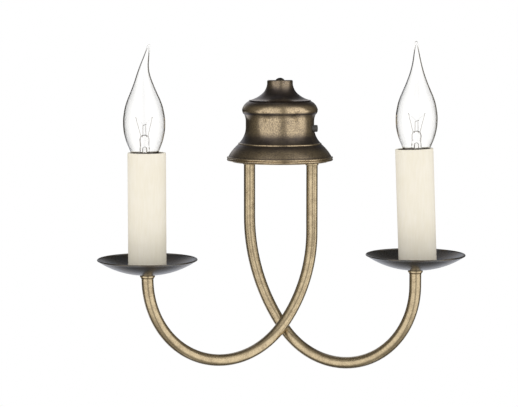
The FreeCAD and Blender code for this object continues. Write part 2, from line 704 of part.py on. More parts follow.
def make_lead(arm, pole_across, pole_out):
    """Two-core lead inside one arm: block, housing, tube, lampholder."""
    top = low(S.block_low - S.slack).number
    start = Vector(pole_across.number, -pole_out.number, top)
    bottom = arm.spot(0, arm.top.number)
    corners = [start, start - Vector(0, 0, S.lead_drop.number), bottom + Vector(0, 0, S.lead_riser.number),
               arm.spot(0, -arm.straight.number)]
    edges = rounded_edges(corners, S.lead_bend.number) + arm.bends()
    foot = arm.spot(arm.run.number, arm.low_end.number)
    end = arm.spot(arm.run.number, (arm.seat + S.holder_low - 2 * S.slack).number)
    edges.append(Part.LineSegment(foot, end).toShape())
    circle = Part.Wire(Part.Circle(start, Vector(0, 0, 1), S.lead_radius.number).toShape())
    tube = Part.Wire(edges).makePipeShell([circle], True, False)
    length = sum(edge.Length for edge in edges)
    expected = math.pi * S.lead_radius.number ** 2 * length
    if abs(tube.Volume / expected - 1) > 0.01:
        raise RuntimeError(arm.name + " lead has the wrong volume")
    new_solid(arm.name + "_lead", tube)


def rounded_edges(corners, radius):
    """Straight runs joined by tangent arcs."""
    edges, last = [], corners[0]
    for before, corner, after in zip(corners, corners[1:], corners[2:]):
        back, ahead = (before - corner).normalize(), (after - corner).normalize()
        half_angle = back.getAngle(ahead) / 2
        reach = radius / math.tan(half_angle)
        middle = (back + ahead).normalize() * (radius / math.sin(half_angle) - radius)
        edges.append(Part.LineSegment(last, corner + back * reach).toShape())
        edges.append(Part.Arc(corner + back * reach, corner + middle, corner + ahead * reach).toShape())
        last = corner + ahead * reach
    edges.append(Part.LineSegment(last, corners[-1]).toShape())
    return edges


def make_collar(arm):
    """Ring under the plate that the arm stops against."""
    body = new_body(arm.name + "_arm_collar")
    bore = S.tube_radius + S.thread_gap
    outside, edge = S.tube_radius + S.collar_rim, S.slack
    revolve(body, ((bore, -S.collar_height), (outside - edge, -S.collar_height),
                   (outside, -S.collar_height + edge), (outside, 0), (bore, 0)))
    place(body, across=arm.exit_across, out=arm.exit_out, up=low(-S.plate_drop))


def make_nut(name, **where):
    body = new_body(name)
    sketch = new_sketch(body, "hexagon", "XY_Plane")
    hexagon(sketch, S.tube_radius + S.locknut_rim)
    draw_circle(sketch, 0, 0, S.tube_radius + S.thread_gap)
    pad(body, "nut", sketch, S.locknut_thick)
    place(body, **where)


# --- Candles -------------------------------------------------------------------------

class Candle:
    """Place of one candle: its side, its arm, and how its pieces lean."""

    def __init__(self, side, arm, lean, sleeve_lean, sleeve_shift, bend_turn, wire_turn):
        self.side = side
        self.arm = arm
        self.lean = lean
        self.sleeve_lean = sleeve_lean
        self.sleeve_shift = sleeve_shift
        self.bend_turn = bend_turn
        self.wire_turn = wire_turn
        self.seat = {"across": arm.candle_across, "out": arm.candle_out, "up": low(arm.seat)}

    def stand(self, thing, leaning=False, turn=0):
        return place(thing, turn=turn, lean=self.lean if leaning else 0, **self.seat)


def make_dish(candle):
    """Spun drip dish: flat seat, then a shallow bowl out to a thin rim."""
    body = new_body(candle.side + "_dish")
    hole = S.tube_radius + S.thread_gap
    rim = S.dish_depth - S.dish_wall
    edge = S.dish_wall / 3
    revolve(body, ((hole, -S.dish_wall), (S.dish_flat, -S.dish_wall),
                   (S.dish_radius, rim - edge, S.dish_curve, "left"),
                   (S.dish_radius - edge, rim),
                   (S.dish_radius - S.dish_wall, rim - edge),
                   (S.dish_flat, 0, S.dish_curve - S.dish_wall, "right"), (hole, 0)))
    candle.stand(body)


def make_bead(candle):
    """Turned ring nut with a round edge, under the dish."""
    body = new_body(candle.side + "_dish_collar")
    bore = S.tube_radius + S.thread_gap
    high = -S.dish_wall
    low_face = high - S.bead_height
    flank = S.tube_radius + S.bead_rim - S.bead_height / 3
    revolve(body, ((bore, low_face), (flank, low_face), (flank, high, S.bead_round, "left"), (bore, high)))
    candle.stand(body)


def make_strap(candle):
    """Steel stirrup that carries the lampholder body above the arm's end."""
    body = new_body(candle.side + "_holder_strap")
    half, thick = S.strap_half, S.strap_thick
    top = S.holder_low
    lug = half - S.strap_lug
    sketch = draw_outline(new_sketch(body, "profile", "XZ_Plane"), (
        (-half, S.strap_lift), (half, S.strap_lift), (half, top), (lug, top), (lug, top - thick),
        (half - thick, top - thick), (half - thick, S.strap_lift + thick),
        (-half + thick, S.strap_lift + thick), (-half + thick, top - thick), (-lug, top - thick),
        (-lug, top), (-half, top)))
    pad(body, "strap", sketch, S.strap_width, midplane=True)
    hole = new_sketch(body, "hole", "XY_Plane")
    draw_circle(hole, 0, 0, S.tube_radius + S.slide_gap)
    pocket(body, "hole_cut", hole, S.strap_lift + thick * 2, reverse=True)
    candle.stand(body, leaning=True)


def make_holder_body(candle):
    """Moulded lampholder cup with a lead hole in its floor."""
    body = new_body(candle.side + "_holder_body")
    outside, edge = SLEEVE_BORE - S.holder_room, S.holder_edge
    floor = S.holder_low + S.holder_floor
    well = S.shell_radius - 2 * S.holder_edge
    step = S.shell_low - S.slack
    revolve(body, ((S.lead_hole, S.holder_low), (outside, S.holder_low), (outside, S.holder_top - edge),
                   (outside - edge, S.holder_top), (S.holder_bore, S.holder_top), (S.holder_bore, step),
                   (well, step), (well, floor), (S.lead_hole, floor)))
    candle.stand(body, leaning=True)


def make_holder_shell(candle):
    body = new_body(candle.side + "_holder_shell")
    revolve(body, ((S.shell_bore, S.shell_low), (S.shell_radius, S.shell_low),
                   (S.shell_radius, S.shell_high), (S.shell_bore, S.shell_high)))
    candle.stand(body, leaning=True)


def make_holder_contact(candle):
    """Bent spring strip under the bulb's tip."""
    body = new_body(candle.side + "_holder_contact")
    floor = S.holder_low + S.holder_floor
    high = S.tip_low - S.slide_gap
    thick, half = S.contact_thick, S.contact_width / 2
    sketch = draw_outline(new_sketch(body, "profile", "XZ_Plane"), (
        (-2 * half, floor), (-half, floor), (-half / 2, high - thick), (half, high - thick),
        (half, high), (-half / 2 - thick, high), (-half - thick, floor + thick), (-2 * half, floor + thick)))
    pad(body, "strip", sketch, S.contact_width, midplane=True)
    candle.stand(body, leaning=True)


def make_sleeve(candle):
    """Ivory card tube that stands loose round the lampholder, on the dish."""
    body = new_body(candle.side + "_candle_sleeve")
    edge = S.sleeve_edge
    top = S.sleeve_length
    revolve(body, ((SLEEVE_BORE, 0), (S.sleeve_radius, 0), (S.sleeve_radius, top - edge),
                   (S.sleeve_radius - edge, top, edge, "left"), (SLEEVE_BORE + edge, top),
                   (SLEEVE_BORE, top - edge, edge, "left")))
    place(body, across=candle.arm.candle_across + candle.sleeve_shift, out=candle.arm.candle_out,
          up=low(candle.arm.seat + S.sleeve_low), lean=candle.sleeve_lean)


def make_bulb_cap(candle):
    """Screw cap: rolled thread, then a skirt round the glass neck."""
    body = new_body(candle.side + "_bulb_cap")
    crest, wall = S.cap_root, S.cap_wall
    corners = [(0, S.cap_low), (crest, S.cap_low)]
    turns = int(S.cap_turns.number)
    for turn in range(1, turns + 1):
        corners.append((crest, S.cap_low + turn * S.cap_pitch, S.cap_crest_round, "left"))
    corners += [(crest, S.skirt_low), (S.skirt_radius, S.skirt_low + wall * 2),
                (S.skirt_radius, S.skirt_top), (S.skirt_radius - wall, S.skirt_top),
                (S.skirt_radius - wall, S.skirt_low + wall * 2.5), (crest - wall, S.skirt_low + wall),
                (crest - wall, S.cap_low + wall), (0, S.cap_low + wall)]
    revolve(body, corners)
    candle.stand(body, leaning=True)


def make_bulb_contact(candle):
    """Black insulator with the centre contact under it."""
    body = new_body(candle.side + "_bulb_contact")
    shelf = S.cap_low - 2 * S.cap_wall
    revolve(body, ((0, S.tip_low), (S.tip_radius - 0.5 * S.cap_wall, S.tip_low),
                   (S.tip_radius, S.tip_low + 0.5 * S.cap_wall), (S.tip_radius, shelf - 2 * S.cap_wall),
                   (S.insulator_radius, shelf), (S.insulator_radius, S.cap_low), (0, S.cap_low)))
    candle.stand(body, leaning=True)


def glass_loft(inset, last):
    """Loft through level circles whose centres follow the bend."""
    circles = []
    for name, _, _ in GLASS_STATIONS[:last]:
        height = getattr(S, "glass_%s_height" % name).number
        radius = getattr(S, "glass_%s_radius" % name).number - inset
        circle = Part.Circle(Vector(glass_offset(height), 0, height), Vector(0, 0, 1), radius)
        circles.append(Part.Wire(circle.toShape()))
    return Part.makeLoft(circles, True)


def glass_offset(height):
    """Straight up to the bend's start, then an easy curve, then a steady slope."""
    start, end = S.glass_bend_start.number, S.glass_bend_end.number
    way = min(max(height - start, 0), end - start)
    eased = way ** 2 / (2 * (end - start))
    return S.glass_bend_slope.number * (eased + max(height - end, 0))


def make_bulb_glass(candle):
    """Clear envelope with a bent tip, open at the neck and solid above the bend."""
    neck, wall = S.glass_neck.number, S.glass_wall.number
    low_end, throat = S.glass_low.number, S.glass_throat_height.number
    outside = Part.makeCylinder(neck, throat - low_end + wall, Vector(0, 0, low_end))
    outside = outside.fuse(glass_loft(0, len(GLASS_STATIONS)))
    inside = Part.makeCylinder(neck - wall, throat - low_end + 2 * wall, Vector(0, 0, low_end - wall))
    inside = inside.fuse(glass_loft(wall, HOLLOW_STATIONS))
    glass = outside.cut(inside)
    thing = new_solid(candle.side + "_bulb_glass", glass)
    candle.stand(thing, leaning=True, turn=candle.bend_turn)


def make_bulb_stem(candle):
    """Inner glass tube, flared to the neck and pinched at the top where it grips the wires."""
    body = new_body(candle.side + "_bulb_stem")
    flare = S.glass_neck - S.glass_wall - S.thread_gap
    revolve(body, ((0, S.stem_low), (flare, S.stem_low), (S.stem_radius, S.stem_low + S.stem_flare),
                   (S.stem_radius, S.stem_high),
                   (S.pinch_radius, S.pinch_high - 2 * S.pinch_radius),
                   (S.pinch_radius, S.pinch_high - S.pinch_radius / 2),
                   (S.pinch_radius / 2, S.pinch_high), (0, S.pinch_high)))
    candle.stand(body, leaning=True)


def rod(start, end, radius):
    return Part.makeCylinder(radius, (end - start).Length, start, end - start)


def make_filament(candle):
    """Two leads, a centre support and the coil strung between their clamping beads."""
    radius, thread, bead = S.wire_radius.number, S.filament_radius.number, S.wire_bead.number
    foot = S.pinch_high.number + S.slide_gap.number
    spread, high = S.wire_spread.number, S.wire_high.number
    support = Vector(0, 0, S.support_high.number)
    wires = [rod(Vector(0, 0, foot), support, radius), Part.makeSphere(bead, support)]
    wires.append(Part.makeBox(4 * radius, 2 * radius, radius, Vector(-2 * radius, -radius, foot)))
    for sign in (-1, 1):
        base, tip = Vector(sign * 2 * radius, 0, foot), Vector(sign * spread, 0, high)
        wires += [rod(base, tip, radius), Part.makeSphere(bead, tip), rod(tip, support, thread)]
    shape = wires[0].multiFuse(wires[1:])
    candle.stand(new_solid(candle.side + "_filament", shape), leaning=True, turn=candle.wire_turn)


LEFT = Candle("left", FRONT, S.left_candle_lean, 0, as_size(0), S.left_bend_turn, S.left_wire_turn)
RIGHT = Candle("right", REAR, 0, S.right_sleeve_lean, S.right_sleeve_shift, S.right_bend_turn,
               S.right_wire_turn)


# --- Build, check and write ----------------------------------------------------------

def build():
    make_shell()
    make_plate()
    make_bracket()
    make_grommet()
    make_dome_screw("top_screw", S.screw_radius, S.top_screw_length, S.screw_head, S.screw_head_height,
                    out=S.top_screw_out, up=low(S.neck_top))
    make_plate_screw()
    make_dome_screw("earth_screw", S.screw_radius, S.strip_thick, S.earth_head, S.screw_head_height,
                    across=S.earth_across, out=S.strip_thick, up=low(S.earth_height), facing="out")
    make_terminal_block()
    make_dome_screw("block_screw", S.block_screw_radius, S.block_depth + S.slack + S.strip_thick / 2,
                    S.block_screw_head, S.screw_head_height,
                    across=S.pole_pitch / 2, out=S.strip_thick + S.slack + S.block_depth,
                    up=low(S.block_low + S.block_height / 2), facing="out")
    make_switch()
    for arm in (REAR, FRONT):
        make_arm(arm)
        make_collar(arm)
    make_nut("rear_arm_locknut", across=REAR.exit_across, out=REAR.exit_out, up=low(PLATE_TOP), turn=90)
    outward = -math.degrees(math.atan2(FRONT.exit_out.number, FRONT.exit_across.number))
    make_nut("front_arm_locknut", across=FRONT.exit_across, out=FRONT.exit_out, up=low(PLATE_TOP), turn=outward)
    make_lead(REAR, S.rear_pole_across, S.rear_pole_out)
    make_lead(FRONT, S.front_pole_across, S.front_pole_out)
    for candle in (LEFT, RIGHT):
        make_dish(candle)
        make_bead(candle)
        make_strap(candle)
        make_nut(candle.side + "_holder_nut", across=candle.arm.candle_across, out=candle.arm.candle_out,
                 up=low(candle.arm.seat + 2 * S.strap_lift + S.strap_thick))
        make_holder_body(candle)
        make_holder_shell(candle)
        make_holder_contact(candle)
        make_sleeve(candle)
        make_bulb_cap(candle)
        make_bulb_contact(candle)
        make_bulb_glass(candle)
        make_bulb_stem(candle)
        make_filament(candle)


def check_and_write():
    doc.recompute()
    for thing in doc.Objects:
        if "Invalid" in thing.State or "Error" in thing.State:
            raise RuntimeError("%s did not build: %s" % (thing.Name, thing.State))
    os.makedirs("parts", exist_ok=True)
    for part in parts:
        if part.Shape.isNull() or not part.Shape.isValid() or not part.Shape.Solids:
            raise RuntimeError(part.Label + " is not a sound solid")
        part.Shape.exportStep("parts/%s.step" % part.Label)
        print("%-24s %2d solid  %9.1f mm3" % (part.Label, len(part.Shape.Solids), part.Shape.Volume))
    print(len(parts), "nodes")


build()
check_and_write()
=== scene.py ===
"""Looks of the double arm wall sconce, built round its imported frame.

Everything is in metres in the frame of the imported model: X to the right, Y into the wall,
Z up, the origin between the two fixing slots. Lengths in the code are millimetres times MM.
"""
import json
import math

import bmesh
import bpy
from bpy.props import FloatProperty, FloatVectorProperty, PointerProperty
from mathutils import Matrix, Vector


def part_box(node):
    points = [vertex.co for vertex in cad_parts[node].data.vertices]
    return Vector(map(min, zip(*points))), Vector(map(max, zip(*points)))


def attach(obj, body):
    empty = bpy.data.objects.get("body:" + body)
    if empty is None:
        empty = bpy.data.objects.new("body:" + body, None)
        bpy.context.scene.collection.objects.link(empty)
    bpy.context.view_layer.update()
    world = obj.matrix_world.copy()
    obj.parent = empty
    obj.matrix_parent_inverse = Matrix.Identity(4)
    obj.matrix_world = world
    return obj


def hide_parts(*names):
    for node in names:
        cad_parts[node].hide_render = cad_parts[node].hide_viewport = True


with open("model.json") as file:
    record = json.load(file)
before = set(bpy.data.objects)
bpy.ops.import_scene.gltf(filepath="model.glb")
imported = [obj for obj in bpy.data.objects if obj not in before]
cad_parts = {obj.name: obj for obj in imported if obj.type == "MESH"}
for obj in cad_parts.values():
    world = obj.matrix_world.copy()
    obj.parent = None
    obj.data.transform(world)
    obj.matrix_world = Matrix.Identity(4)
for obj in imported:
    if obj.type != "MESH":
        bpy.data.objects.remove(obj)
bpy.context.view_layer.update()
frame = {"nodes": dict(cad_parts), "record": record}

bl_info = {
    "name": "Double Arm Wall Sconce",
    "version": (1, 0, 0),
    "blender": (4, 5, 0),
    "location": "3D View > Sidebar > Sconce",
    "description": "Dishes, candle sleeves, bulbs and finishes of a double arm wall sconce",
    "category": "Object",
}

MM = 0.001
SIDES = ("left", "right")


# --- Sizes and colours ---------------------------------------------------------------

def length(name, description, millimetres):
    return FloatProperty(name=name, description=description, default=millimetres * MM, min=0.0,
                         precision=5, unit="LENGTH")


def colour(name, description, red, green, blue):
    return FloatVectorProperty(name=name, description=description, default=(red, green, blue),
                               min=0.0, max=1.0, size=3, subtype="COLOR")


class SconceSizes(bpy.types.PropertyGroup):
    dish_radius: length("Dish radius", "Outside radius of a drip dish", 42.0)
    dish_wall: length("Dish wall", "Sheet thickness of a drip dish", 1.0)
    dish_rim: length("Dish rim", "Radius of the bead rolled round a dish", 0.75)
    sleeve_radius: length("Sleeve radius", "Outside radius of a candle sleeve", 16.0)
    sleeve_wall: length("Sleeve wall", "Wall of a candle sleeve", 2.0)
    sleeve_length: length("Sleeve length", "Length of a candle sleeve", 98.9)
    glass_wall: length("Glass wall", "Wall of a bulb's envelope", 0.8)
    stem_radius: length("Stem radius", "Outside radius of the glass stem in a bulb", 4.3)
    wire_radius: length("Wire radius", "Radius of the wires that hold a filament", 0.22)
    coil_radius: length("Coil radius", "Radius of the wound filament", 0.15)
    button_radius: length("Button radius", "Radius of the push button", 3.1)


class SconceColours(bpy.types.PropertyGroup):
    brass_bright: colour("Bright brass", "Brass where it is rubbed", 0.62, 0.52, 0.36)
    brass_dark: colour("Dark brass", "Brass under its patina", 0.17, 0.125, 0.08)
    housing_bright: colour("Housing brass", "Lighter speckles of the housing", 0.60, 0.485, 0.335)
    housing_dark: colour("Housing patina", "Darker speckles of the housing", 0.09, 0.076, 0.074)
    bronze: colour("Dish bronze", "Dark bronze of the dishes", 0.15, 0.15, 0.155)
    bronze_warm: colour("Dish patina", "Warmer clouds in the dish bronze", 0.165, 0.148, 0.132)
    ivory: colour("Ivory", "Candle sleeves", 0.905, 0.85, 0.73)
    ivory_deep: colour("Deep ivory", "Fibres and stains of the sleeves", 0.85, 0.785, 0.63)
    inside_dark: colour("Bare card", "Unpainted inside of the sleeves", 0.10, 0.075, 0.06)
    glass: colour("Glass", "Tint of the bulb glass", 1.0, 1.0, 1.0)
    # Painted shade at the glass's edges, with the tint of the longer path through the glass
    glass_edge_shade: colour("Glass edge", "Tint of the bulb glass seen edge on", 0.88, 0.89, 0.91)
    glass_thick_shade: colour("Thick glass edge", "Tint of the stem seen edge on", 0.36, 0.34, 0.34)
    blackened: colour("Blackened steel", "Top screw and button", 0.06, 0.055, 0.05)
    steel: colour("Zinc", "Plated steel inside the housing", 0.62, 0.64, 0.66)
    porcelain: colour("Insulation", "Moulded lampholders and terminal block", 0.80, 0.79, 0.75)
    rubber: colour("Rubber", "Cable bush", 0.03, 0.03, 0.032)


def sizes():
    return bpy.context.scene.sconce_sizes


def colours():
    return bpy.context.scene.sconce_colours


# --- Node graphs ---------------------------------------------------------------------

MIX_FIRST, MIX_SECOND, MIX_RESULT = 6, 7, 2  # the colour sockets of a Mix node


class Graph:
    """A node tree, with one short call for each kind of node used here."""

    def __init__(self, tree):
        self.tree = tree

    def node(self, kind, **settings):
        made = self.tree.nodes.new(kind)
        for name, value in settings.items():
            setattr(made, name, value)
        return made

    def feed(self, socket, value):
        """Link a socket to another's output, or set its own value."""
        if isinstance(value, bpy.types.NodeSocket):
            self.tree.links.new(value, socket)
        elif hasattr(value, "__len__") and len(value) == 3 and socket.type == "RGBA":
            socket.default_value = (*value, 1.0)
        else:
            socket.default_value = value

    def math(self, operation, first, second=0.0):
        made = self.node("ShaderNodeMath", operation=operation)
        self.feed(made.inputs[0], first)
        self.feed(made.inputs[1], second)
        return made.outputs[0]

    def step(self, value, low, high, first=0.0, last=1.0):
        """Ease from first to last as value goes from low to high."""
        made = self.node("ShaderNodeMapRange", interpolation_type="SMOOTHSTEP")
        for socket, given in zip(made.inputs, (value, low, high, first, last)):
            self.feed(socket, given)
        return made.outputs[0]

    def mix(self, factor, first, second, blend="MIX"):
        made = self.node("ShaderNodeMix", data_type="RGBA", blend_type=blend)
        self.feed(made.inputs[0], factor)
        self.feed(made.inputs[MIX_FIRST], first)
        self.feed(made.inputs[MIX_SECOND], second)
        return made.outputs[MIX_RESULT]

    def ramp(self, value, stops):
        """Grey ramp through (place, grey) stops."""
        made = self.node("ShaderNodeValToRGB")
        row = made.color_ramp.elements
        while len(row) < len(stops):
            row.new(0.5)
        for element, (place, grey) in zip(row, stops):
            element.position = place
            element.color = (grey, grey, grey, 1.0)
        self.feed(made.inputs[0], value)
        return made.outputs[0]


class Finish(Graph):
    """A procedural material on object coordinates."""

    def __init__(self, name, **sockets):
        self.material = bpy.data.materials.new("finish_" + name)
        self.material.use_nodes = True
        super().__init__(self.material.node_tree)
        self.surface = self.tree.nodes["Principled BSDF"]
        self.spot = self.node("ShaderNodeTexCoord").outputs["Object"]
        for name, value in sockets.items():
            self.feed(self.surface.inputs[name.replace("_", " ")], value)

    def noise(self, grain, detail=3.0, stretch=(1.0, 1.0, 1.0), distortion=0.0):
        """Cloudy noise whose blotches are about grain millimetres wide."""
        mapping = self.node("ShaderNodeMapping")
        self.feed(mapping.inputs["Vector"], self.spot)
        mapping.inputs["Scale"].default_value = stretch
        made = self.node("ShaderNodeTexNoise")
        self.feed(made.inputs["Vector"], mapping.outputs[0])
        made.inputs["Scale"].default_value = 1.0 / (grain * MM)
        made.inputs["Detail"].default_value = detail
        made.inputs["Distortion"].default_value = distortion
        return made.outputs[0]

    def height(self):
        """Height in the frame, in metres."""
        made = self.node("ShaderNodeSeparateXYZ")
        self.feed(made.inputs[0], self.spot)
        return made.outputs["Z"]

    def marked(self, name):
        """Amount that mark() stored on the piece, 0 where it stored none."""
        return self.node("ShaderNodeAttribute", attribute_name=name).outputs["Fac"]

    def colour(self, value):
        self.feed(self.surface.inputs["Base Color"], value)

    def rough(self, value):
        self.feed(self.surface.inputs["Roughness"], value)

    def bump(self, value, depth, strength=1.0):
        made = self.node("ShaderNodeBump")
        self.feed(made.inputs["Height"], value)
        made.inputs["Distance"].default_value = depth * MM
        made.inputs["Strength"].default_value = strength
        self.feed(self.surface.inputs["Normal"], made.outputs[0])


# --- Finishes ------------------------------------------------------------------------

NOISE_SPAN = (0.3, 0.7)  # noise seldom leaves these values
LIP = -36.0  # height of the housing's lip in the frame, in millimetres
HOUSING_TOP = 71.4  # height of its top above the lip
HOUSING_WEAR_AND_REFLECTION = (
    # Height above the lip in millimetres, and how far the housing is lightened: patina worn off
    # the mouldings, and painted reflection, lighter where highlights fall and darker where the
    # dark room is reflected
    (0.0, 0.8), (1.7, 0.85), (1.85, 0.05), (2.0, 0.85), (3.4, 0.8), (3.8, 0.1),
    (5.0, 0.42), (9.0, 0.42), (12.5, 0.08), (14.5, 0.06), (14.8, 0.9), (15.6, 0.9),
    (16.0, 0.05), (21.0, 0.06), (26.0, 0.6), (38.0, 0.65), (41.0, 0.4), (41.5, 0.0),
    (42.6, 0.1), (44.0, 0.8), (47.5, 0.98), (50.0, 0.25), (52.6, 0.1), (53.4, 0.1),
    (53.8, 0.4), (55.5, 0.05), (63.0, 0.05), (67.0, 0.28), (71.4, 0.32),
)


def housing_finish():
    """Antique brass: fine speckle, soft clouds, mouldings worn bright, and painted reflection in
    bands by height.
    """
    tints = colours()
    work = Finish("housing_brass", Metallic=1.0)
    height_share = work.step(work.height(), LIP * MM, (LIP + HOUSING_TOP) * MM)
    height_share.node.interpolation_type = "LINEAR"
    # Painted reflection and wear: the bands by height are lighter where highlights fall and
    # darker where the dark room is reflected, as well as where the patina is worn
    rubbed_and_reflected = work.ramp(height_share, [(height / HOUSING_TOP, amount) for height, amount in HOUSING_WEAR_AND_REFLECTION])
    clouds = work.step(work.noise(9.0, 2.0), 0.35, 0.68, -0.05, 0.05)
    speckle = work.step(work.noise(0.75, 5.0), 0.42, 0.58, 0.56, 1.4)
    amount = work.math("ADD", work.math("MULTIPLY", rubbed_and_reflected, speckle), clouds)
    work.colour(work.mix(amount, tints.housing_dark, tints.housing_bright))
    work.rough(work.step(amount, 0.0, 1.0, 0.32, 0.2))
    work.bump(work.noise(0.8, 3.0), 0.04, 0.3)
    return work.material


def brass_finish(name, grain, smooth, worn):
    """Lacquered brass with a thin uneven patina, darker where a piece is marked with dark
    patches.
    """
    tints = colours()
    work = Finish(name, Metallic=1.0)
    clouds = work.step(work.noise(7.0, 2.0), *NOISE_SPAN, -0.1, 0.1)
    speckle = work.step(work.noise(grain, 4.0), 0.36, 0.64, -0.1, 0.1)
    amount = work.math("ADD", work.math("ADD", clouds, speckle), worn)
    amount = work.math("SUBTRACT", amount, work.marked("tarnish"))
    work.colour(work.mix(work.step(amount, 0.0, 1.0), tints.brass_dark, tints.brass_bright))
    work.rough(work.step(amount, 0.0, 1.0, smooth + 0.14, smooth))
    work.bump(work.noise(0.6, 2.0), 0.015, 0.2)
    return work.material


def bronze_finish():
    """Dark spun bronze with faint warm clouds and turning marks."""
    tints = colours()
    work = Finish("dish_bronze", Metallic=1.0)
    clouds = work.step(work.noise(11.0, 3.0, distortion=0.4), 0.35, 0.65)
    work.colour(work.mix(clouds, tints.bronze, tints.bronze_warm))
    marks = work.noise(0.7, 2.0)
    work.rough(work.step(marks, *NOISE_SPAN, 0.24, 0.34))
    work.bump(marks, 0.02, 0.2)
    return work.material


def ivory_finish():
    """Painted card: long faint fibres and a soft sheen outside, dark inside."""
    tints = colours()
    work = Finish("sleeve_ivory", Specular_IOR_Level=0.35)
    fibres = work.noise(1.6, 3.0, stretch=(1.0, 1.0, 0.12))
    stains = work.step(work.noise(24.0, 2.0), 0.35, 0.75)
    blend = work.math("ADD", work.step(fibres, *NOISE_SPAN), stains)
    painted = work.mix(work.math("MULTIPLY", blend, 0.4), tints.ivory, tints.ivory_deep)
    # Darker inside the bore, where the piece is marked as inside
    work.colour(work.mix(work.marked("inside"), painted, tints.inside_dark))
    work.rough(work.step(fibres, *NOISE_SPAN, 0.42, 0.55))
    work.bump(fibres, 0.03, 0.25)
    return work.material


def glass_finish():
    """Clear blown glass, slightly uneven in polish, grey seen edge on and more so where thick:
    painted shade for the dark reflections at its edges, with the tint of the longer path through
    the glass.
    """
    tints = colours()
    work = Finish("bulb_glass", Transmission_Weight=1.0, IOR=1.46)
    # Painted shade: the colour greys where the glass is seen edge on, more where it is thick
    facing = work.node("ShaderNodeLayerWeight").outputs["Facing"]
    thick = work.marked("thick")
    edge = work.step(work.math("ADD", facing, work.math("MULTIPLY", thick, 0.4)), 0.62, 0.86)
    grey = work.mix(thick, tints.glass_edge_shade, tints.glass_thick_shade)
    work.colour(work.mix(edge, tints.glass, grey))
    work.rough(work.step(work.noise(14.0, 1.0), *NOISE_SPAN, 0.0, 0.004))
    return work.material


def plated_finish(name, tint, smooth):
    """Plated or turned metal with fine tarnish."""
    darkening = 0.72
    work = Finish(name, Metallic=1.0)
    tarnish = work.step(work.noise(3.0, 4.0), 0.35, 0.7)
    work.colour(work.mix(tarnish, tint, [part * darkening for part in tint]))
    work.rough(work.step(work.noise(0.8, 3.0), *NOISE_SPAN, smooth, smooth + 0.16))
    work.bump(work.noise(0.5, 2.0), 0.02, 0.2)
    return work.material


def moulded_finish(name, tint, smooth):
    """Moulded insulation, rubber or sheath with a fine matt skin."""
    darkening = 0.86
    work = Finish(name)
    skin = work.noise(1.0, 3.0)
    work.colour(work.mix(work.step(skin, *NOISE_SPAN), tint, [part * darkening for part in tint]))
    work.rough(work.step(skin, *NOISE_SPAN, smooth, smooth + 0.12))
    work.bump(skin, 0.04, 0.3)
    return work.material


def make_finish(slot):
    """Finish of one of the record's slots, by the kind of surface it is."""
    tints = colours()
    own = {
        "housing_brass": housing_finish, "dish_bronze": bronze_finish,
        "sleeve_ivory": ivory_finish, "bulb_glass": glass_finish,
    }
    brasses = {  # speckle in millimetres, roughness, and how far the patina is worn off
        "arm_brass": (1.2, 0.22, 0.66), "ring_brass": (1.0, 0.22, 0.72),
        "plate_brass": (1.2, 0.34, 0.35), "earth_brass": (1.0, 0.3, 0.8),
    }
    metals = {  # colour and roughness
        "zinc_steel": (tints.steel, 0.34), "dark_screw": (tints.blackened, 0.3),
        "cap_metal": ((0.78, 0.77, 0.74), 0.26), "wire_metal": ((0.60, 0.585, 0.57), 0.34),
    }
    mouldings = {  # colour and roughness
        "grommet_rubber": (tints.rubber, 0.6), "block_plastic": (tints.porcelain, 0.4),
        "switch_plastic": ((0.07, 0.07, 0.068), 0.3), "holder_plastic": (tints.porcelain, 0.35),
        "lead_sheath": ((0.55, 0.56, 0.57), 0.5),
    }
    if slot in own:
        return own[slot]()
    if slot in brasses:
        return brass_finish(slot, *brasses[slot])
    if slot in metals:
        return plated_finish(slot, *metals[slot])
    return moulded_finish(slot, *mouldings[slot])


def finish(slot):
    """The material of one of the record's slots, made once."""
    return bpy.data.materials.get("finish_" + slot) or make_finish(slot)


# --- Shapes --------------------------------------------------------------------------

